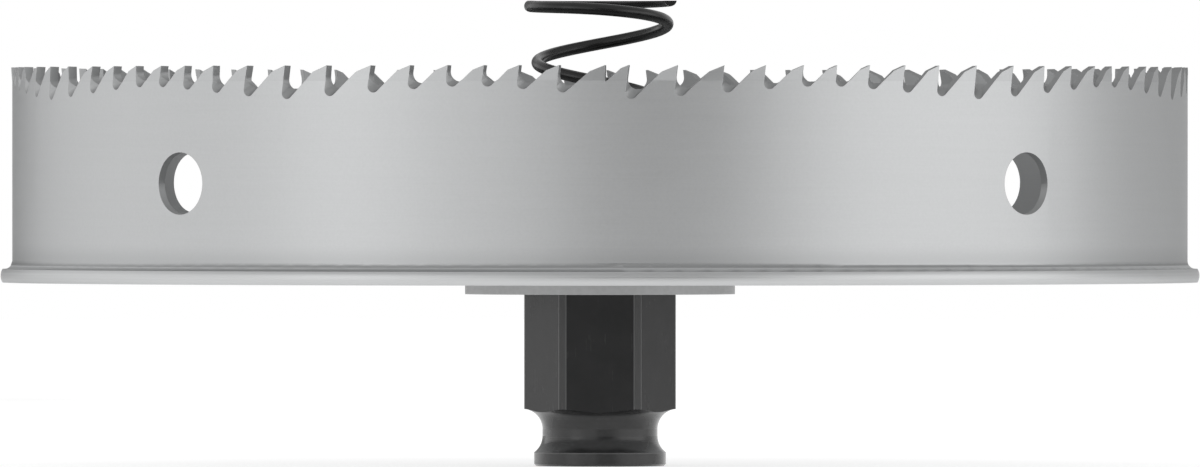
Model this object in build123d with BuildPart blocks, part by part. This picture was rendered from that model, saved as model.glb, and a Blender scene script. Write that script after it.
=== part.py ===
from build123d import *
from math import asin, ceil, cos, degrees, hypot, atan2, pi, radians, sin, sqrt, tan
import os

# Hole saw, 152 mm. Millimetres, +Z up from the shank's end face to the teeth.
# The origin is the centre of the shank's end face, on which the saw stands.

# Cup wall: a toothed strip rolled into a ring and butt-joined
cut_diameter = 152.0
wall_thickness = 1.1
strip_width = 26.0
cup_turn = 0.45
weld_bead = 1.05

# Teeth: raker set, milled in a repeating group of pitches, all measured along the strip
tooth_set = 0.15
set_height = 1.95
first_gullet = 3.32
tooth_pitches = (6.24, 6.03, 5.44, 5.05, 4.58, 4.50, 5.02, 5.17, 5.87)
gullet_depths = (4.26, 3.90, 3.45, 3.03, 2.71, 2.71, 3.03, 3.45, 3.90)
rake_angle = 7.5
relief_angle = 22.0
relief_share = 0.33
inner_gullet_radius = 1.2
outer_gullet_radius = 0.75
rake_skew = 0.2
pocket_skew = 1.15
pocket_rise = 0.374
pocket_rise_start = 1.0
seam_notch_depth = 2.07
seam_notch_radius = 0.12
cutter_overrun = 0.6

# Slug holes in the wall
slug_hole_diameter = 7.9
slug_hole_count = 4
slug_hole_height = 11.07

# Base plate with its rim
rim_diameter = 154.74
rim_thickness = 1.74
rim_crown = 0.22
plate_thickness = 4.5
plate_chamfer = 0.5
plate_clearance = 0.05

# Backing washer
washer_diameter = 34.84
washer_thickness = 1.52

# Shank: collar, locking groove, hexagon, threaded neck and spring spigot, turned from one bar
hex_across_flats = 17.35
hex_turned_diameter = 19.57
shank_length = 22.17
collar_diameter = 17.03
collar_length = 1.75
collar_chamfer = 0.25
groove_depth = 1.085
groove_radius = 2.6
groove_waist_length = 0.9
groove_sample_angle = 20.0
neck_diameter = 14.0
neck_clearance = 0.1
neck_protrusion = 0.8
spigot_diameter = 10.4
spigot_length = 4.0
spigot_lip = 0.12
spigot_chamfer = 0.6
pilot_bore_diameter = 6.5
bore_chamfer = 0.4

# Lock nut inside the cup
nut_across_flats = 22.0
nut_height = 7.0
nut_chamfer_angle = 30.0
thread_clearance = 0.05

# Ejector spring: left-hand cone with closed and ground ends
spring_length = 24.07
wire_diameter = 1.53
spring_top_diameter = 19.8
spring_pitch = 10.0
top_closed_turns = 0.665
seat_closed_turns = 0.9
ramp_turns = 0.3
spring_clearance = 0.05
grind_offset = 0.06
points_per_turn = 12

# Sizes that follow
wall_radius = cut_diameter / 2 - tooth_set
inner_radius = wall_radius - wall_thickness
strip_length = 2 * pi * wall_radius
washer_base = shank_length
rim_base = washer_base + washer_thickness
rim_top = rim_base + rim_thickness
plate_top = rim_base + plate_thickness
nut_top = plate_top + nut_height
neck_top = nut_top + neck_protrusion
spigot_top = neck_top + spigot_length
spring_top = neck_top + spring_length
spigot_radius = spigot_diameter / 2
bore_radius = pilot_bore_diameter / 2
spring_start = (spring_top_diameter - wire_diameter) / 2
spring_end = spigot_radius + spring_clearance + wire_diameter / 2
tip_height = rim_top + strip_width
bend_height = tip_height - set_height
hole_height = rim_top + slug_hole_height

os.makedirs("parts", exist_ok=True)


def strip_angle(position):
    """Angle about the cup's axis, in degrees from +X, of a distance along the strip from its seam."""
    return cup_turn - 90 + degrees(position / wall_radius)


def profile_plane(angle):
    """Half-plane through the cup's axis: x is the radius and y is up."""
    turn = radians(angle)
    return Plane(origin=(0, 0, 0), x_dir=(cos(turn), sin(turn), 0), z_dir=(sin(turn), -cos(turn), 0))


def gullet_list():
    """Gullets as (step in the group, middle along the strip), the last group cut off at the strip's end."""
    gullets = []
    middle = first_gullet
    while middle < strip_length - min(tooth_pitches) / 2:
        step = len(gullets) % len(tooth_pitches)
        gullets.append((step, middle))
        middle += tooth_pitches[step]
    return gullets


def inner_depth(depth):
    """Depth of a gullet at the inner face: its floor rises inwards, and rises more in a deep gullet."""
    return depth - pocket_rise * (depth - pocket_rise_start)


def floor_offset(depth, radius, rake):
    """Distance from a tooth's tip to the middle of the gullet in front of it."""
    return radius / cos(radians(rake)) - (depth - radius) * tan(radians(rake))


def tip_offset(step):
    """Distance from a tip to the middle of the gullet in front of it, for a step of the group."""
    return floor_offset(gullet_depths[step], outer_gullet_radius, rake_angle)


def tip_pitch(step):
    """Distance between the tips on both sides of a gullet."""
    return tooth_pitches[step] + tip_offset(step) - tip_offset((step + 1) % len(gullet_depths))


def gullet_outline(pitch, depth, radius, rake, through):
    """Outline of a gullet between tips at (0, 0) and (pitch, 0), open above them or only its deeper part."""
    lean = tan(radians(rake))
    relief_run = relief_share * pitch
    relief_drop = relief_run * tan(radians(relief_angle))
    centre = (floor_offset(depth, radius, rake), radius - depth)
    heel = (pitch - relief_run, -relief_drop)
    reach = hypot(heel[0] - centre[0], heel[1] - centre[1])
    slope = atan2(heel[1] - centre[1], heel[0] - centre[0]) + asin(radius / reach)
    face_end = (centre[0] - radius * cos(radians(rake)), centre[1] + radius * sin(radians(rake)))
    floor_end = (centre[0] + radius * sin(slope), centre[1] - radius * cos(slope))
    if through:
        above = cutter_overrun
        mouth = [(pitch + above / tan(radians(relief_angle)), above), (above * lean, above)]
    else:
        mouth = [(-relief_drop * lean, -relief_drop)]
    with BuildLine() as outline:
        Line(mouth[-1], face_end)
        ThreePointArc(face_end, (centre[0], -depth), floor_end)
        Polyline(floor_end, heel, *mouth)
    return outline.line


def cutter(outline, offset, skew, rise):
    """Outline pushed in through the wall at the angle 0, drifting along the strip and up on its way."""
    wall_plane = Plane(origin=(wall_radius, 0, tip_height), x_dir=(0, 1, 0), z_dir=(1, 0, 0))
    drift = Vector(-wall_thickness, skew, rise) / wall_thickness
    with BuildPart() as cut:
        with BuildSketch(wall_plane):
            with BuildLine():
                with Locations((-offset, 0)):
                    add(outline)
            make_face()
        extrude(amount=drift.length * (wall_thickness + tooth_set + cutter_overrun), dir=drift, both=True)
    return cut.part


def gullet_cutters(step, pitch):
    """The two cuts that make a gullet: one straight through the wall, and the chip pocket outside it."""
    depth = gullet_depths[step]
    shallow = inner_depth(depth)
    through = gullet_outline(pitch, shallow, inner_gullet_radius, rake_angle, True)
    pocket = gullet_outline(pitch, depth, outer_gullet_radius, rake_angle, False)
    return [
        cutter(through, tip_offset(step), rake_skew, 0),
        cutter(pocket, tip_offset(step), pocket_skew, depth - shallow),
    ]


# Saw band. The wall ring ends at the bend line, and the weld bead flares its foot.
gullets = gullet_list()
last_step, last_middle = gullets[-1]
last_pitch = strip_length - last_middle + tip_offset(last_step)
sector_ends = [0] + [middle for step, middle in gullets] + [strip_length]
blank_height = set_height + cutter_overrun / 2

with BuildPart() as wall_ring:
    with BuildSketch(Plane.XZ):
        with BuildLine():
            CenterArc((wall_radius + weld_bead, rim_top + weld_bead), weld_bead, 180, 90)
            Polyline(
                (wall_radius + weld_bead, rim_top),
                (inner_radius, rim_top),
                (inner_radius, bend_height),
                (wall_radius, bend_height),
                (wall_radius, rim_top + weld_bead),
            )
        make_face()
    revolve(axis=Axis.Z)

# Above the bend line each tooth's sector is straight, set outwards or set inwards in turn
sectors = []
for number in range(len(sector_ends) - 1):
    lean = (0, tooth_set, -tooth_set)[number % 3] * blank_height / set_height
    arc = degrees((sector_ends[number + 1] - sector_ends[number]) / wall_radius)
    with BuildPart() as sector:
        with BuildSketch(profile_plane(strip_angle(sector_ends[number]))):
            with BuildLine():
                Polyline(
                    (inner_radius, bend_height),
                    (wall_radius, bend_height),
                    (wall_radius + lean, bend_height + blank_height),
                    (inner_radius + lean, bend_height + blank_height),
                    close=True,
                )
            make_face()
        revolve(axis=Axis.Z, revolution_arc=arc)
    sectors.append(sector.part)

group_cutters = [gullet_cutters(step, tip_pitch(step)) for step in range(len(gullet_depths))]
seam_outline = gullet_outline(first_gullet - tip_offset(0), seam_notch_depth, seam_notch_radius, 0, True)
cutters = [cutter(seam_outline, 0, rake_skew, 0).rotate(Axis.Z, strip_angle(0))]
cutters += [cut.rotate(Axis.Z, strip_angle(last_middle)) for cut in gullet_cutters(last_step, last_pitch)]
for step, middle in gullets[:-1]:
    cutters += [cut.rotate(Axis.Z, strip_angle(middle)) for cut in group_cutters[step]]

with BuildPart() as saw_band:
    add(wall_ring.part)
    add(sectors)
    add(cutters, mode=Mode.SUBTRACT)
    for number in range(slug_hole_count):
        hole_angle = strip_angle(0) + (number + 0.5) * 360 / slug_hole_count
        with Locations(Plane(origin=(0, 0, hole_height), z_dir=profile_plane(hole_angle).x_dir)):
            Cylinder(
                slug_hole_diameter / 2,
                wall_radius + cutter_overrun,
                align=(Align.CENTER, Align.CENTER, Align.MIN),
                mode=Mode.SUBTRACT,
            )
saw_band.part.label = "saw_band"
export_step(saw_band.part, "parts/saw_band.step")

# Base plate: a crowned rim under the wall, and a thicker middle that locates the wall from inside
with BuildPart() as base_plate:
    with BuildSketch(Plane.XZ):
        rim_corner = rim_diameter / 2 - rim_crown
        with BuildLine():
            ThreePointArc(
                (rim_corner, rim_base),
                (rim_diameter / 2, rim_base + rim_thickness / 2),
                (rim_corner, rim_top),
            )
            Polyline(
                (rim_corner, rim_top),
                (inner_radius - plate_clearance, rim_top),
                (inner_radius - plate_clearance, plate_top - plate_chamfer),
                (inner_radius - plate_clearance - plate_chamfer, plate_top),
                (neck_diameter / 2 + neck_clearance, plate_top),
                (neck_diameter / 2 + neck_clearance, rim_base),
                (rim_corner, rim_base),
            )
        make_face()
    revolve(axis=Axis.Z)
base_plate.part.label = "base_plate"
export_step(base_plate.part, "parts/base_plate.step")

# Backing washer between the plate and the shank's shoulder
with BuildPart() as backing_washer:
    with BuildSketch(Plane.XY.offset(washer_base)):
        Circle(washer_diameter / 2)
        Circle(neck_diameter / 2 + neck_clearance, mode=Mode.SUBTRACT)
    extrude(amount=washer_thickness)
backing_washer.part.label = "backing_washer"
export_step(backing_washer.part, "parts/backing_washer.step")

# Hex shank: turned from hexagon bar, with the locking groove's two arcs and straight waist
waist_radius = collar_diameter / 2 - groove_depth
groove_centre = waist_radius + groove_radius
lower_arc = collar_length + sqrt(groove_radius**2 - (groove_centre - collar_diameter / 2) ** 2)
upper_arc = lower_arc + groove_waist_length
hex_start = upper_arc + sqrt(groove_radius**2 - (groove_centre - hex_turned_diameter / 2) ** 2)
groove_sample = radians(groove_sample_angle)

with BuildPart() as hex_shank:
    with BuildSketch(Plane.XZ):
        with BuildLine():
            Polyline(
                (bore_radius + bore_chamfer, 0),
                (collar_diameter / 2 - collar_chamfer, 0),
                (collar_diameter / 2, collar_chamfer),
                (collar_diameter / 2, collar_length),
            )
            ThreePointArc(
                (collar_diameter / 2, collar_length),
                (groove_centre - groove_radius * cos(groove_sample), lower_arc - groove_radius * sin(groove_sample)),
                (waist_radius, lower_arc),
            )
            Line((waist_radius, lower_arc), (waist_radius, upper_arc))
            ThreePointArc(
                (waist_radius, upper_arc),
                (groove_centre - groove_radius * cos(groove_sample), upper_arc + groove_radius * sin(groove_sample)),
                (hex_turned_diameter / 2, hex_start),
            )
            Polyline(
                (hex_turned_diameter / 2, hex_start),
                (hex_turned_diameter / 2, shank_length),
                (neck_diameter / 2, shank_length),
                (neck_diameter / 2, neck_top),
                (spigot_radius, neck_top),
                (spigot_radius, neck_top + wire_diameter),
                (spigot_radius + spigot_lip, neck_top + wire_diameter + spigot_lip),
                (spigot_radius + spigot_lip, spigot_top - spigot_chamfer),
                (spigot_radius + spigot_lip - spigot_chamfer, spigot_top),
                (bore_radius + bore_chamfer, spigot_top),
                (bore_radius, spigot_top - bore_chamfer),
                (bore_radius, bore_chamfer),
                (bore_radius + bore_chamfer, 0),
            )
        make_face()
    revolve(axis=Axis.Z)
    with BuildSketch():
        RegularPolygon(hex_across_flats / 2, 6, major_radius=False)
    extrude(amount=spigot_top, mode=Mode.INTERSECT)
hex_shank.part.label = "hex_shank"
export_step(hex_shank.part, "parts/hex_shank.step")

# Lock nut that clamps plate and washer against the shank's shoulder
nut_corner = nut_across_flats / sqrt(3)
nut_bevel = (nut_corner - nut_across_flats / 2) * tan(radians(nut_chamfer_angle))
with BuildPart() as lock_nut:
    with BuildSketch(Plane.XZ):
        with BuildLine():
            Polyline(
                (neck_diameter / 2 + thread_clearance, plate_top),
                (nut_across_flats / 2, plate_top),
                (nut_corner, plate_top + nut_bevel),
                (nut_corner, nut_top - nut_bevel),
                (nut_across_flats / 2, nut_top),
                (neck_diameter / 2 + thread_clearance, nut_top),
                close=True,
            )
        make_face()
    revolve(axis=Axis.Z)
    with BuildSketch(Plane.XY.offset(plate_top)):
        RegularPolygon(nut_across_flats / 2, 6, major_radius=False)
    extrude(amount=nut_height, mode=Mode.INTERSECT)
lock_nut.part.label = "lock_nut"
export_step(lock_nut.part, "parts/lock_nut.step")


# Ejector spring: closed ends, ground flat, and a full pitch that ramps in and out between them
spring_fall = spring_length + 2 * grind_offset
pitch_gain = spring_pitch - wire_diameter
closed_share = top_closed_turns + seat_closed_turns + ramp_turns
coil_turns = (spring_fall + pitch_gain * closed_share) / spring_pitch


def ramped(turns):
    """Turns past the start of a ramp, eased in over the ramp's length."""
    inside = min(max(turns, 0), ramp_turns)
    return inside**2 / (2 * ramp_turns) + max(turns - ramp_turns, 0)


def wire_point(turn):
    """Middle of the wire after a number of turns from the spring's top end, left-handed."""
    ramp_out = coil_turns - seat_closed_turns - ramp_turns
    fall = wire_diameter * turn + pitch_gain * (ramped(turn - top_closed_turns) - ramped(turn - ramp_out))
    radius = spring_start + (spring_end - spring_start) * fall / spring_fall
    angle = 2 * pi * turn
    return Vector(radius * cos(angle), radius * sin(angle), spring_top + grind_offset - fall)


with BuildPart() as ejector_spring:
    with BuildLine() as wire_path:
        steps = ceil(coil_turns * points_per_turn)
        Spline([wire_point(coil_turns * step / steps) for step in range(steps + 1)])
    with BuildSketch(Plane(origin=wire_path.line @ 0, z_dir=wire_path.line % 0)):
        Circle(wire_diameter / 2)
    sweep(path=wire_path.line, is_frenet=True)
    split(bisect_by=Plane.XY.offset(spring_top), keep=Keep.BOTTOM)
    split(bisect_by=Plane.XY.offset(neck_top), keep=Keep.TOP)
ejector_spring.part.label = "ejector_spring"
export_step(ejector_spring.part, "parts/ejector_spring.step")
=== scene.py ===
import math

import bpy
import numpy as np
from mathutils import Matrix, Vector


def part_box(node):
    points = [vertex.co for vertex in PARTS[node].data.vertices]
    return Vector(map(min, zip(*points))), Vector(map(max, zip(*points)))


bl_info = {
    "name": "Hole Saw Finishes",
    "version": (1, 0, 0),
    "blender": (4, 5, 0),
    "location": "View3D > Sidebar > Hole Saw",
    "description": "Gives a 152 mm hole saw its steel and black oxide finishes and a studio",
    "category": "Object",
}

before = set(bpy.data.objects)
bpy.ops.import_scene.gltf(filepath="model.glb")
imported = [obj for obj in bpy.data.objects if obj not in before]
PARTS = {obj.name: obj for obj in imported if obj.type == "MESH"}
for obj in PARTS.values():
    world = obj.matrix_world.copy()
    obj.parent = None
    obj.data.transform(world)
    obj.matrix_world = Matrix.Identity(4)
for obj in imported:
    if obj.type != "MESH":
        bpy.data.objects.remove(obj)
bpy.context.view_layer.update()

# Lowest and highest corners of the parts whose heights the finishes follow, in metres
BAND_FOOT, BAND_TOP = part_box("saw_band")
WASHER_LOW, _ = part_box("backing_washer")
_, NUT_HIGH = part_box("lock_nut")
SPRING_LOW, SPRING_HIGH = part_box("ejector_spring")
MM = 0.001
WHITE = (1.0, 1.0, 1.0, 1.0)

# How fine each pattern is, in repeats per metre, or along x, y and z where it is drawn out
HAIR_LINES = (110.0, 110.0, 9000.0)
BRUSH_STREAKS = (30.0, 30.0, 1700.0)
STRIP_GRAIN = 3000.0
STRIP_CLOUD = 45.0
TURNED_RINGS = 5200.0
BROAD_RINGS = 420.0
PLATE_CLOUD = 60.0
ZINC_CRYSTALS = 1500.0
ZINC_CLOUD = 140.0
TURNING_MARKS = 6500.0
DRAW_MARKS = (5200.0, 5200.0, 160.0)
OXIDE_CLOUD = 260.0
WIRE_SPECKLE = 1900.0
WIRE_CLOUD = 300.0

# Depth of each pattern's relief
BRUSH_DEPTH = 0.006 * MM
TURNED_DEPTH = 0.012 * MM
ZINC_DEPTH = 0.02 * MM
THREAD_DEPTH = 0.45 * MM

# Heights over the strip's foot: the weld bead's top, and where painted shade on the bead's upper part and
# over the wall's foot changes
BEAD_TOP = 0.72 * MM
TOE_SHADE_CHANGE = (0.43 * MM, 0.55 * MM)
FOOT_SHADE_CHANGE = (1.2 * MM, 3.6 * MM)

# How softly the bead's colour ends, and how far outside the wall it starts
BEAD_FADE = 0.2 * MM
BEAD_PROUD = 0.02 * MM

# How squarely the strip's skin looks outwards where its brushed outside begins and where it is full
OUTSIDE_CHANGE = (0.85, 0.97)

# Weld of the strip's hard edge: its faint line's half width and fade, and the fade of the edge's own tone
HARD_LINE_HALF = 0.04 * MM
HARD_LINE_FADE = 0.05 * MM
HARD_EDGE_FADE = 0.03 * MM

# Painted highlights on and beside the hexagon's turned corners, as distances from their radius
CORNER_HIGHLIGHT = (-0.06 * MM, -0.02 * MM)
BORDER_HIGHLIGHT = (-0.08 * MM, -0.03 * MM)
BORDER_FADE = 0.03 * MM

# Painted highlight band under the collar's upper edge
COLLAR_HIGHLIGHT_BAND = 0.12 * MM
COLLAR_FADE = 0.04 * MM

# Fades at the ends of the hexagon's draw marks and of the neck's thread, which stops below the shoulder
FLATS_FADE = 0.1 * MM
THREAD_FADE = 0.05 * MM
THREAD_STOP = 0.1 * MM

# How near to the spring's two ends, and how squarely up or down, its wire counts as ground flat
GROUND_DEPTH = 0.03 * MM
GROUND_FACING = 0.9

# The part of a mixed noise's range that a steel's light and dark tones are spread over
STEEL_TONES = (0.3, 0.7)
ZINC_TONES = (0.25, 0.75)

# How steeply a mirrored ray looks up where the ceiling's level begins and where it is full
CEILING_CHANGE = (0.15, 0.7)


class Value:
    """A socket of a shader's tree that Python's own operators work on, as numbers."""

    def __init__(self, shader, socket):
        self.shader = shader
        self.socket = socket

    def __add__(self, other):
        return self.shader.math("ADD", self, other)

    def __sub__(self, other):
        return self.shader.math("SUBTRACT", self, other)

    def __mul__(self, other):
        return self.shader.math("MULTIPLY", self, other)

    def __truediv__(self, other):
        return self.shader.math("DIVIDE", self, other)

    def __rsub__(self, other):
        return self.shader.math("SUBTRACT", other, self)

    def __rtruediv__(self, other):
        return self.shader.math("DIVIDE", other, self)

    def __lt__(self, other):
        return self.shader.math("LESS_THAN", self, other)

    def __gt__(self, other):
        return self.shader.math("GREATER_THAN", self, other)

    __radd__ = __add__
    __rmul__ = __mul__


class Shader:
    """A node tree, with one method that adds a node and short ones for the nodes used most."""

    def __init__(self, tree):
        self.tree = tree
        self.tree.nodes.clear()

    def add(self, kind, settings=None, sockets=None, out=0):
        """Adds a node: its settings first, then numbers or links for its sockets. Returns one output."""
        node = self.tree.nodes.new(kind)
        for name, setting in (settings or {}).items():
            setattr(node, name, setting)
        for name, value in (sockets or {}).items():
            if isinstance(value, Value):
                self.tree.links.new(value.socket, node.inputs[name])
            else:
                node.inputs[name].default_value = value
        return Value(self, node.outputs[out]) if len(node.outputs) else None

    def math(self, operation, *values):
        """A Math node on one, two or three values."""
        return self.add("ShaderNodeMath", {"operation": operation}, dict(enumerate(values)))

    def smooth(self, value, low, high):
        """0 below low, 1 above high and eased between them."""
        settings = {"interpolation_type": "SMOOTHSTEP", "clamp": True}
        return self.add("ShaderNodeMapRange", settings, {"Value": value, "From Min": low, "From Max": high})

    def span(self, value, low, high, soft):
        """1 between low and high, eased over soft on both sides."""
        return self.smooth(value, low - soft, low) * (1 - self.smooth(value, high, high + soft))

    def parts_of(self, vector):
        """The x, y and z of a vector."""
        parts = self.add("ShaderNodeSeparateXYZ", None, {0: vector}).socket.node.outputs
        return [Value(self, part) for part in parts]

    def place(self):
        """The point of the surface in metres, and its x, y and z."""
        point = self.add("ShaderNodeTexCoord", out=3)
        return point, self.parts_of(point)

    def facing(self):
        """The x, y and z of the surface's own direction."""
        return self.parts_of(self.add("ShaderNodeTexCoord", out=1))

    def rays(self):
        """1 for the camera's, the mirrored and the refracted rays, and 0 for the others."""
        path = self.add("ShaderNodeLightPath").socket.node.outputs
        kinds = ("Is Camera Ray", "Is Glossy Ray", "Is Transmission Ray")
        return [Value(self, path[kind]) for kind in kinds]

    def stretched(self, point, scale):
        """The point with each axis scaled, so that a noise on it is drawn out along the small ones."""
        return self.add("ShaderNodeMapping", {"vector_type": "POINT"}, {"Vector": point, "Scale": scale})

    def noise(self, point, scale, detail=2.0, roughness=0.5):
        """Noise from 0 to 1 about 0.5 on a point."""
        sockets = {"Vector": point, "Scale": scale, "Detail": detail, "Roughness": roughness}
        return self.add("ShaderNodeTexNoise", {"noise_dimensions": "3D"}, sockets)

    def line_noise(self, distance, scale, detail=2.0, roughness=0.5):
        """Noise from 0 to 1 about 0.5 along one distance."""
        sockets = {"W": distance, "Scale": scale, "Detail": detail, "Roughness": roughness}
        return self.add("ShaderNodeTexNoise", {"noise_dimensions": "1D"}, sockets)

    def blend(self, share, first, second):
        """A colour between two colours."""
        settings = {"data_type": "RGBA", "clamp_factor": True}
        return self.add("ShaderNodeMix", settings, {0: share, 6: first, 7: second}, out=2)

    def rounded(self, radius):
        """A direction that turns over an edge as if it had this radius, so that the edge catches light."""
        return self.add("ShaderNodeBevel", {"samples": 6}, {"Radius": radius})

    def bump(self, height, strength, distance, normal):
        """A direction that is tilted by a height of up to 1 times the distance, in metres."""
        sockets = {"Strength": strength, "Distance": distance, "Height": height, "Normal": normal}
        return self.add("ShaderNodeBump", None, sockets)

    def finish(self, sockets):
        """The Principled surface that ends a material."""
        surface = self.add("ShaderNodeBsdfPrincipled", None, sockets)
        self.add("ShaderNodeOutputMaterial", None, {"Surface": surface})


def new_material(name):
    """An empty node material and its shader."""
    material = bpy.data.materials.new(name)
    material.use_nodes = True
    return material, Shader(material.node_tree)


def wear(part, material):
    """Puts a material on every slot of one of the saw's parts."""
    for slot in PARTS[part].material_slots:
        slot.material = material


def tinted(colour, share):
    """A colour made lighter or darker by a share."""
    return [channel * share for channel in colour[:3]] + [1.0]


def brushed_band(settings):
    """Satin strip steel: fine hair lines run round the cup. Its inside and its cuts are rougher, and painted
    shade darkens them.

    A faint line marks the weld of the hard edge below the tips, and painted shade darkens the wall towards
    its foot at the plate. The weld bead is pale, with painted shade on its upper part where it meets the
    wall.
    """
    material, shader = new_material("brushed_strip_steel")
    point, (x, y, z) = shader.place()
    across_wall = shader.math("SQRT", x * x + y * y)
    out_x, out_y, _ = shader.facing()
    outwards = shader.smooth((out_x * x + out_y * y) / across_wall, *OUTSIDE_CHANGE)
    hair = shader.noise(shader.stretched(point, HAIR_LINES), 1.0, 2.0, 0.6)
    streak = shader.noise(shader.stretched(point, BRUSH_STREAKS), 1.0, 2.0, 0.5)
    grain = shader.noise(point, STRIP_GRAIN, 2.0, 0.6)
    cloud = shader.noise(point, STRIP_CLOUD, 2.0, 0.5)
    over_foot = z - BAND_FOOT.z
    hard_foot = BAND_TOP.z - settings.hard_edge_height
    hard = shader.smooth(z, hard_foot - HARD_EDGE_FADE, hard_foot + HARD_EDGE_FADE)
    weld_line = shader.span(z, hard_foot - HARD_LINE_HALF, hard_foot + HARD_LINE_HALF, HARD_LINE_FADE)
    # Painted shade: the wall darkens towards its foot at the plate
    foot_shade = 1 - shader.smooth(over_foot, *FOOT_SHADE_CHANGE)
    bead = shader.span(over_foot, 0.0, BEAD_TOP, BEAD_FADE)
    bead = bead * (across_wall > settings.wall_radius + BEAD_PROUD)
    # Painted shade on the bead's upper part, where it meets the wall
    toe_shade = shader.smooth(over_foot, *TOE_SHADE_CHANGE)
    tone = shader.smooth(hair * 0.35 + streak * 0.15 + grain * 0.4 + cloud * 0.1, *STEEL_TONES)
    colour = shader.blend(tone, tinted(settings.band_colour, 0.97), tinted(settings.band_colour, 1.03))
    colour = shader.blend(hard * 0.2, colour, tinted(settings.band_colour, 0.92))
    # The weld line's faint real tone and the painted shade over the foot darken the steel
    colour = shader.blend(weld_line * 0.2 + foot_shade * 0.6, colour, tinted(settings.band_colour, 0.82))
    # Painted shade: the inside of the cup and the cuts of the teeth are darker than the outside
    colour = shader.blend(outwards, tinted(settings.band_colour, settings.inside_shade_share), colour)
    # The bead's pale colour below, and its painted shade above where it meets the wall
    weld = shader.blend(toe_shade, tinted(settings.band_colour, 1.2), tinted(settings.band_colour, 0.74))
    colour = shader.blend(bead, colour, weld)
    rough = (hair - 0.5) * 0.1 + (cloud - 0.5) * 0.04 + (1 - outwards) * 0.12 + settings.band_roughness
    edges = shader.rounded(0.5 * settings.edge_radius)
    relief = hair * 0.5 + streak * 0.1 + grain * 0.4
    lines = shader.bump(relief, settings.brush_strength, BRUSH_DEPTH, edges)
    sockets = {"Base Color": colour, "Metallic": 1.0, "Roughness": rough, "Normal": lines}
    sockets["Specular Tint"] = tinted(WHITE, settings.edge_share)
    shader.finish(sockets)
    return material


def turned_plate(settings):
    """Turned steel: fine rings on the flat faces and lines round the edge, on radius plus height."""
    material, shader = new_material("turned_plate_steel")
    point, (x, y, z) = shader.place()
    along = shader.math("SQRT", x * x + y * y) + z
    rings = shader.line_noise(along, TURNED_RINGS, 3.0, 0.65)
    broad = shader.line_noise(along, BROAD_RINGS, 2.0, 0.5)
    cloud = shader.noise(point, PLATE_CLOUD, 2.0, 0.5)
    tone = shader.smooth(rings * 0.6 + broad * 0.12 + cloud * 0.28, *STEEL_TONES)
    shade = shader.blend(tone, tinted(settings.plate_colour, 0.95), tinted(settings.plate_colour, 1.05))
    rough = (rings - 0.5) * 0.14 + (cloud - 0.5) * 0.08 + settings.plate_roughness
    lines = shader.bump(rings, 0.14, TURNED_DEPTH, shader.rounded(settings.edge_radius))
    sockets = {"Base Color": shade, "Metallic": 1.0, "Roughness": rough, "Normal": lines}
    sockets["Specular Tint"] = tinted(WHITE, settings.edge_share)
    shader.finish(sockets)
    return material


def zinc_plating(name, colour, settings):
    """Zinc plating: a matt silver with faint crystal mottling."""
    material, shader = new_material(name)
    point, _ = shader.place()
    sockets = {"Vector": point, "Scale": ZINC_CRYSTALS, "Randomness": 1.0}
    crystals = shader.add("ShaderNodeTexVoronoi", {"feature": "F1"}, sockets)
    cloud = shader.noise(point, ZINC_CLOUD, 3.0, 0.55)
    tone = shader.smooth(crystals * 0.4 + cloud * 0.6, *ZINC_TONES)
    shade = shader.blend(tone, tinted(colour, 0.94), tinted(colour, 1.06))
    rough = (cloud - 0.5) * 0.14 + (crystals - 0.5) * 0.05 + settings.zinc_roughness
    edges = shader.rounded(settings.edge_radius)
    skin = shader.bump(cloud * 0.5 + crystals * 0.5, 0.12, ZINC_DEPTH, edges)
    shader.finish({"Base Color": shade, "Metallic": 1.0, "Roughness": rough, "Normal": skin})
    return material


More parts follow.
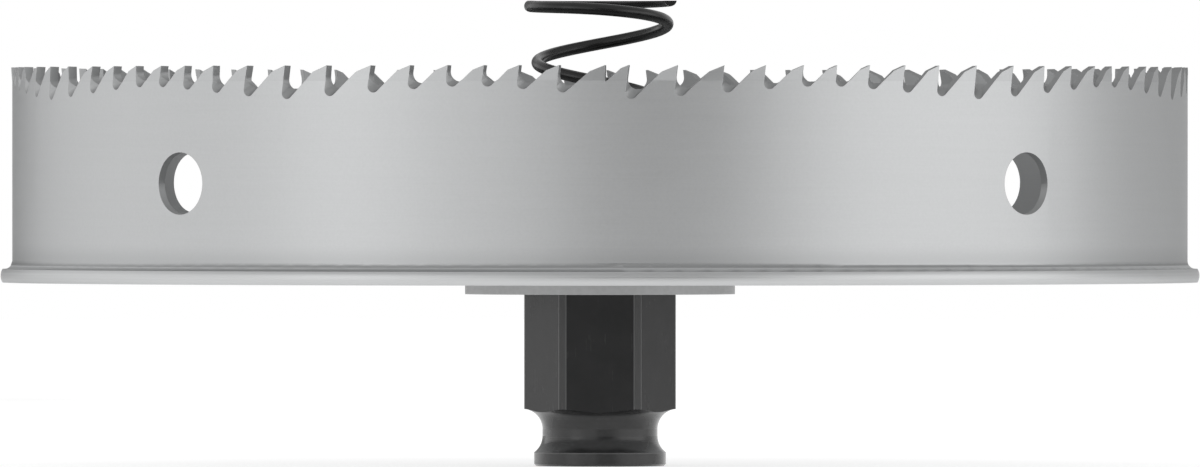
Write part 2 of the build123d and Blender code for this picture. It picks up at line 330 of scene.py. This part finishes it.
def black_oxide(settings):
    """Black oxide on the shank: draw marks on the hexagon's flats, and turning marks and oil elsewhere.

    Painted highlights make the hexagon's turned corners and their borders paler, and the collar's upper edge
    too.
    The neck's thread is a ridge that rises by one pitch in a turn.
    """
    material, shader = new_material("black_oxide_steel")
    point, (x, y, z) = shader.place()
    across = shader.math("SQRT", x * x + y * y)
    turning = shader.line_noise(z + across, TURNING_MARKS, 3.0, 0.6)
    drawing = shader.noise(shader.stretched(point, DRAW_MARKS), 1.0, 2.0, 0.5)
    on_flats = shader.span(z, settings.hex_foot, WASHER_LOW.z, FLATS_FADE)
    marks = drawing * on_flats + turning * (1 - on_flats)
    thread_foot = NUT_HIGH.z - settings.thread_pitch
    thread = shader.span(z, thread_foot, settings.neck_top - THREAD_STOP, THREAD_FADE)
    helix = shader.math("ARCTAN2", y, x) * (settings.thread_pitch / math.tau) + z
    ridge = shader.math("PINGPONG", helix, settings.thread_pitch / 2) * (2.0 / settings.thread_pitch)
    cloud = shader.noise(point, OXIDE_CLOUD, 3.0, 0.6)
    past_corner = across - settings.corner_radius
    # Painted highlights on the hexagon's turned corners, on the lines beside them and under the collar's
    # upper edge
    corner_highlight = on_flats * shader.smooth(past_corner, *CORNER_HIGHLIGHT)
    border_highlight = on_flats * shader.span(past_corner, *BORDER_HIGHLIGHT, BORDER_FADE)
    collar_highlight = shader.span(z, settings.collar_height - COLLAR_HIGHLIGHT_BAND, settings.collar_height, COLLAR_FADE)
    shade = shader.blend(cloud, tinted(settings.oxide_colour, 0.75), tinted(settings.oxide_colour, 1.25))
    # The painted highlights are laid over the oxide's colour
    shade = shader.blend(corner_highlight, shade, tinted(settings.highlight_colour, 1.0))
    shade = shader.blend(border_highlight + collar_highlight * 0.6, shade, tinted(settings.highlight_colour, 1.8))
    rough = (marks - 0.5) * 0.12 + (cloud - 0.5) * 0.14 + settings.oxide_roughness
    edges = shader.rounded(settings.edge_radius)
    fine = shader.bump(marks * 0.5 + cloud * 0.5, 0.25, TURNED_DEPTH, edges)
    normal = shader.bump(ridge * thread, 1.0, THREAD_DEPTH, fine)
    sockets = {"Base Color": shade, "Metallic": 0.0, "Roughness": rough, "Normal": normal}
    sockets["Specular IOR Level"] = settings.oxide_gloss
    sockets["Coat Weight"] = (1 - on_flats) * settings.oil_share
    sockets["Coat Roughness"] = settings.oxide_roughness
    shader.finish(sockets)
    return material


def spring_wire(settings):
    """Black spring wire with an oily speckle, and bright steel where its ends are ground flat."""
    material, shader = new_material("black_spring_wire")
    point, (_, _, z) = shader.place()
    _, _, up = shader.facing()
    speckle = shader.noise(point, WIRE_SPECKLE, 3.0, 0.6)
    cloud = shader.noise(point, WIRE_CLOUD, 2.0, 0.5)
    top_end = (z > SPRING_HIGH.z - GROUND_DEPTH) * (up > GROUND_FACING)
    foot_end = (z < SPRING_LOW.z + GROUND_DEPTH) * (up < -GROUND_FACING)
    ground = top_end + foot_end
    shade = shader.blend(speckle, tinted(settings.wire_colour, 0.7), tinted(settings.wire_colour, 1.3))
    shade = shader.blend(ground, shade, tinted(settings.ground_colour, 1.0))
    rough = (speckle - 0.5) * 0.16 + (cloud - 0.5) * 0.1 + settings.wire_roughness
    edges = shader.rounded(0.5 * settings.edge_radius)
    skin = shader.bump(speckle * 0.6 + cloud * 0.4, 0.2, TURNED_DEPTH, edges)
    sockets = {"Base Color": shade, "Metallic": ground, "Roughness": rough, "Normal": skin}
    sockets["Specular IOR Level"] = settings.wire_gloss
    shader.finish(sockets)
    return material


def colour_property(name, description, default):
    """A colour that a user can pick, in linear light."""
    return bpy.props.FloatVectorProperty(
        name=name, description=description, default=default, min=0.0, max=1.0, size=3, subtype="COLOR"
    )


def share_property(name, description, default):
    """A share from 0 to 1."""
    return bpy.props.FloatProperty(
        name=name, description=description, default=default, min=0.0, max=1.0, subtype="FACTOR"
    )


def level_property(name, description, default):
    """A light's level, where 1 is white."""
    return bpy.props.FloatProperty(name=name, description=description, default=default, min=0.0, max=20.0)


def length_property(name, description, default):
    """A length in metres."""
    return bpy.props.FloatProperty(
        name=name, description=description, default=default, min=0.0, unit="LENGTH"
    )


class HoleSawFinishes(bpy.types.PropertyGroup):
    """Colours, gloss and marks of the saw's own parts."""

    band_colour: colour_property("Band colour", "Reflection colour of the strip steel", (0.503, 0.51, 0.514))
    band_roughness: share_property("Band roughness", "How far the strip steel spreads a reflection", 0.4)
    brush_strength: share_property("Brushing", "Strength of the hair lines round the cup", 0.18)
    hard_edge_height: length_property("Hard edge", "Height of the hard steel edge below the tips", 1.9 * MM)
    # Share of the outside's brightness that painted shade leaves on the inside and the cuts
    inside_shade_share: share_property("Dull share", "How bright the inside and cuts are against the outside", 0.8)
    wall_radius: length_property("Wall radius", "Outer radius of the cup's wall", 75.85 * MM)
    plate_colour: colour_property("Plate colour", "Reflection colour of the base plate", (0.57, 0.577, 0.58))
    plate_roughness: share_property("Plate roughness", "How far the plate spreads a reflection", 0.45)
    edge_radius: length_property("Edge radius", "Radius to which the edges are broken", 0.1 * MM)
    edge_share: share_property("Edge reflection", "Share of a glancing reflection that steel keeps", 0.55)
    washer_colour: colour_property("Washer colour", "Reflection colour of its plating", (0.42, 0.422, 0.423))
    nut_colour: colour_property("Nut colour", "Reflection colour of its plating", (0.5, 0.5, 0.495))
    zinc_roughness: share_property("Zinc roughness", "How far the plating spreads a reflection", 0.45)
    oxide_colour: colour_property("Oxide colour", "Colour of the black oxide", (0.034, 0.034, 0.0343))
    oxide_roughness: share_property("Oxide roughness", "How far the black oxide spreads a reflection", 0.24)
    oxide_gloss: share_property("Oxide gloss", "Specular level of the black oxide", 0.24)
    oil_share: share_property("Oil share", "How much oil the turned groove and collar keep", 0.6)
    # Colour of the painted highlight on the hexagon's turned corners; their borders get it brighter
    highlight_colour: colour_property("Worn oxide", "Colour of the rubbed corners", (0.095, 0.095, 0.095))
    collar_height: length_property("Collar height", "Height of the collar's upper edge", 1.75 * MM)
    corner_radius: length_property("Corner radius", "Radius of the hexagon's turned corners", 9.785 * MM)
    hex_foot: length_property("Hexagon foot", "Height at which the hexagon starts", 7.0 * MM)
    thread_pitch: length_property("Thread pitch", "Pitch of the thread above the nut", 1.0 * MM)
    neck_top: length_property("Neck top", "Height of the shoulder that the spring stands on", SPRING_LOW.z)
    wire_colour: colour_property("Wire colour", "Colour of the spring wire", (0.008, 0.008, 0.008))
    wire_roughness: share_property("Wire roughness", "How far the wire spreads a reflection", 0.28)
    wire_gloss: share_property("Wire gloss", "Specular level of the wire", 0.5)
    ground_colour: colour_property("Ground ends", "Bare steel of the spring's ground ends", (0.5, 0.5, 0.5))


class HoleSawStudio(bpy.types.PropertyGroup):
    """Floor, light and camera."""

    floor_colour: colour_property("Floor colour", "Pale floor as other things see it", (0.8, 0.8, 0.8))
    floor_radius: length_property("Floor radius", "Radius of the floor", 2.6)
    shadow_share: share_property("Shadow share", "Part of the seen floor's white that the saw shades", 0.46)
    floor_glow: share_property("Floor glow", "Glow that the seen floor adds to it", 0.7)
    room_level: level_property("Room", "Light from all round on dull surfaces", 0.75)
    ceiling_level: level_property("Ceiling", "Level overhead in mirrored light, where the sides are 1", 0.55)
    left_level: level_property("Left panel", "Level of the soft panel at the front left", 1.63)
    right_level: level_property("Right panel", "Level of the soft panel on the right", 1.5)
    side_level: level_property("Side panel", "Level of the broad panel on the left side", 1.15)
    far_right_level: level_property("Right grey", "Level of the grey panel at the back right", 0.57)
    back_level: level_property("Back grey", "Level of the grey panel behind", 0.78)
    far_left_level: level_property("Left grey", "Level of the dark panel at the back left", 0.3)
    front_level: level_property("Dark card", "Level of the dark card round the camera", 0.1)
    lens: bpy.props.FloatProperty(
        name="Lens", description="Focal length on a 36 mm sensor", default=660.0, min=1.0, unit="CAMERA"
    )
    picture_width: length_property("Picture width", "Width seen at the saw's axis", 154.92 * MM)
    picture_middle: length_property("Picture middle", "Height at the middle of the picture", 29.99 * MM)
    camera_height: length_property("Camera height", "Height of the camera over the floor", 39.5 * MM)


def new_piece(name, points, faces):
    """A mesh object from its points and faces, with its origin at the saw's."""
    mesh = bpy.data.meshes.new(name)
    mesh.from_pydata(points.tolist(), [], faces)
    mesh.update()
    piece = bpy.data.objects.new(name, mesh)
    bpy.context.scene.collection.objects.link(piece)
    return piece


def disc(name, radius, rings=12, spokes=96):
    """A flat disc at z = 0: (radius * s * cos a, radius * s * sin a), s from 0 to 1 and a once round."""
    reach = radius * np.linspace(0.0, 1.0, rings + 1)[1:, None]
    angle = np.linspace(0.0, math.tau, spokes, endpoint=False)[None, :]
    level = np.zeros((rings, spokes))
    ring_points = np.stack([reach * np.cos(angle), reach * np.sin(angle), level], axis=-1)
    points = np.vstack([[(0.0, 0.0, 0.0)], ring_points.reshape(-1, 3)])
    this = np.arange(spokes)
    after = (this + 1) % spokes
    faces = np.stack([np.zeros(spokes, int), 1 + this, 1 + after], axis=1).tolist()
    for ring in range(rings - 1):
        start = 1 + ring * spokes
        outer = start + spokes
        faces += np.stack([start + this, outer + this, outer + after, start + after], axis=1).tolist()
    return new_piece(name, points, faces)


def panel(name, first, last, level, radius=0.8, height=0.4, columns=24, rows=4):
    """A curved studio panel that stands on the floor: (radius * sin a, -radius * cos a, height * t).

    The azimuth a runs in degrees from the first to the last, 0 in front and positive to the right, and t
    runs from 0 to 1. The camera doesn't see the panel, so no view is hidden by it.
    """
    turn = np.radians(np.linspace(first, last, columns + 1))[:, None]
    share = np.linspace(0.0, 1.0, rows + 1)[None, :]
    across = radius * np.sin(turn) * np.ones_like(share)
    depth = -radius * np.cos(turn) * np.ones_like(share)
    rise = height * share * np.ones_like(turn)
    points = np.stack([across, depth, rise], axis=-1)
    start = (np.arange(columns)[:, None] * (rows + 1) + np.arange(rows)[None, :]).ravel()
    faces = np.stack([start, start + 1, start + rows + 2, start + rows + 1], axis=1)
    piece = new_piece(name, points.reshape(-1, 3), faces.tolist())
    material, shader = new_material(name)
    glow = shader.add("ShaderNodeEmission", None, {"Color": WHITE, "Strength": level})
    shader.add("ShaderNodeOutputMaterial", None, {"Surface": glow})
    piece.data.materials.append(material)
    piece.visible_camera = False
    piece.visible_shadow = False
    return piece


class FinishBand(bpy.types.Operator):
    """Brushed strip steel on the toothed band"""

    bl_idname = "hole_saw.finish_band"
    bl_label = "Finish Saw Band"

    def execute(self, context):
        wear("saw_band", brushed_band(context.scene.hole_saw_finishes))
        return {"FINISHED"}


class FinishPlate(bpy.types.Operator):
    """Turned steel on the base plate"""

    bl_idname = "hole_saw.finish_plate"
    bl_label = "Finish Base Plate"

    def execute(self, context):
        wear("base_plate", turned_plate(context.scene.hole_saw_finishes))
        return {"FINISHED"}


class FinishFasteners(bpy.types.Operator):
    """Zinc plating on the backing washer and the lock nut"""

    bl_idname = "hole_saw.finish_fasteners"
    bl_label = "Finish Washer and Nut"

    def execute(self, context):
        settings = context.scene.hole_saw_finishes
        wear("backing_washer", zinc_plating("zinc_washer", settings.washer_colour, settings))
        wear("lock_nut", zinc_plating("zinc_nut", settings.nut_colour, settings))
        return {"FINISHED"}


class FinishShank(bpy.types.Operator):
    """Black oxide on the hex shank"""

    bl_idname = "hole_saw.finish_shank"
    bl_label = "Finish Hex Shank"

    def execute(self, context):
        wear("hex_shank", black_oxide(context.scene.hole_saw_finishes))
        return {"FINISHED"}


class FinishSpring(bpy.types.Operator):
    """Black wire with ground ends on the ejector spring"""

    bl_idname = "hole_saw.finish_spring"
    bl_label = "Finish Ejector Spring"

    def execute(self, context):
        wear("ejector_spring", spring_wire(context.scene.hole_saw_finishes))
        return {"FINISHED"}


class BuildStage(bpy.types.Operator):
    """Pale floor, soft light and the camera"""

    bl_idname = "hole_saw.build_stage"
    bl_label = "Build Stage"

    def execute(self, context):
        settings = context.scene.hole_saw_studio
        self.lay_floor(settings)
        self.light_room(context.scene, settings)
        self.stand_panels(settings)
        self.set_camera(context.scene, settings)
        context.scene.view_settings.view_transform = "Standard"
        return {"FINISHED"}

    def lay_floor(self, settings):
        """A pale floor that reads white where it is lit, in the picture and in reflections."""
        floor = disc("studio_floor", settings.floor_radius)
        material, shader = new_material("pale_floor")
        camera, mirrored, through = shader.rays()
        seen = shader.math("MAXIMUM", shader.math("MAXIMUM", camera, mirrored), through)
        plain = shader.add("ShaderNodeBsdfDiffuse", None, {"Color": tinted(settings.floor_colour, 1.0)})
        pale = shader.add("ShaderNodeBsdfDiffuse", None, {"Color": tinted(WHITE, settings.shadow_share)})
        glow = shader.add("ShaderNodeEmission", None, {"Color": WHITE, "Strength": settings.floor_glow})
        lifted = shader.add("ShaderNodeAddShader", None, {0: pale, 1: glow})
        surface = shader.add("ShaderNodeMixShader", None, {0: seen, 1: plain, 2: lifted})
        shader.add("ShaderNodeOutputMaterial", None, {"Surface": surface})
        floor.data.materials.append(material)

    def light_room(self, scene, settings):
        """Even light from all round: white behind the saw, and dimmer overhead where metal mirrors it."""
        world = bpy.data.worlds.new("studio_room")
        world.use_nodes = True
        scene.world = world
        shader = Shader(world.node_tree)
        camera, mirrored, through = shader.rays()
        seen = shader.math("MAXIMUM", camera, through)
        _, _, up = shader.parts_of(shader.add("ShaderNodeTexCoord"))
        overhead = shader.smooth(up, *CEILING_CHANGE)
        mirror = 1 - overhead * (1 - settings.ceiling_level)
        plain = (1 - seen) * (1 - mirrored) * settings.room_level
        strength = seen + (1 - seen) * mirrored * mirror + plain
        room = shader.add("ShaderNodeBackground", None, {"Color": WHITE, "Strength": strength})
        shader.add("ShaderNodeOutputWorld", None, {"Surface": room})

    def stand_panels(self, settings):
        """The panels round the saw that its metal mirrors, from the left of the camera to the right."""
        panel("soft_panel_side", -143.0, -90.0, settings.side_level)
        panel("soft_panel_left", -60.0, -36.0, settings.left_level)
        panel("dark_card_front", -6.0, 28.0, settings.front_level)
        panel("soft_panel_right", 40.0, 95.0, settings.right_level)
        panel("grey_panel_right", 102.0, 130.0, settings.far_right_level)
        panel("grey_panel_back", 130.0, 186.0, settings.back_level)
        panel("dark_panel_back", 186.0, 216.0, settings.far_left_level)

    def set_camera(self, scene, settings):
        """A long lens far in front, so that the picture is nearly without perspective."""
        camera = bpy.data.cameras.new("studio_camera")
        camera.sensor_width = 36.0
        camera.lens = settings.lens
        distance = settings.picture_width * settings.lens / camera.sensor_width
        camera.clip_start = distance / 10
        camera.clip_end = distance * 4
        viewer = bpy.data.objects.new("studio_camera", camera)
        viewer.location = (0.0, -distance, settings.camera_height)
        aim = Vector((0.0, 0.0, settings.picture_middle)) - viewer.location
        viewer.rotation_euler = aim.to_track_quat("-Z", "Y").to_euler()
        scene.collection.objects.link(viewer)
        scene.camera = viewer


OPERATORS = (FinishBand, FinishPlate, FinishFasteners, FinishShank, FinishSpring, BuildStage)


class HoleSawPanel(bpy.types.Panel):
    """Lists the finishes and the stage"""

    bl_idname = "VIEW3D_PT_hole_saw"
    bl_label = "Hole Saw"
    bl_space_type = "VIEW_3D"
    bl_region_type = "UI"
    bl_category = "Hole Saw"

    def draw(self, context):
        for group in (context.scene.hole_saw_finishes, context.scene.hole_saw_studio):
            for name in group.__annotations__:
                self.layout.prop(group, name)
        for operator in OPERATORS:
            self.layout.operator(operator.bl_idname)


CLASSES = (HoleSawFinishes, HoleSawStudio, *OPERATORS, HoleSawPanel)


def register():
    for each in CLASSES:
        bpy.utils.register_class(each)
    bpy.types.Scene.hole_saw_finishes = bpy.props.PointerProperty(type=HoleSawFinishes)
    bpy.types.Scene.hole_saw_studio = bpy.props.PointerProperty(type=HoleSawStudio)


def unregister():
    del bpy.types.Scene.hole_saw_studio
    del bpy.types.Scene.hole_saw_finishes
    for each in reversed(CLASSES):
        bpy.utils.unregister_class(each)


def main():
    register()
    bpy.ops.hole_saw.finish_band()
    bpy.ops.hole_saw.finish_plate()
    bpy.ops.hole_saw.finish_fasteners()
    bpy.ops.hole_saw.finish_shank()
    bpy.ops.hole_saw.finish_spring()
    bpy.ops.hole_saw.build_stage()


if __name__ == "__main__":
    main()
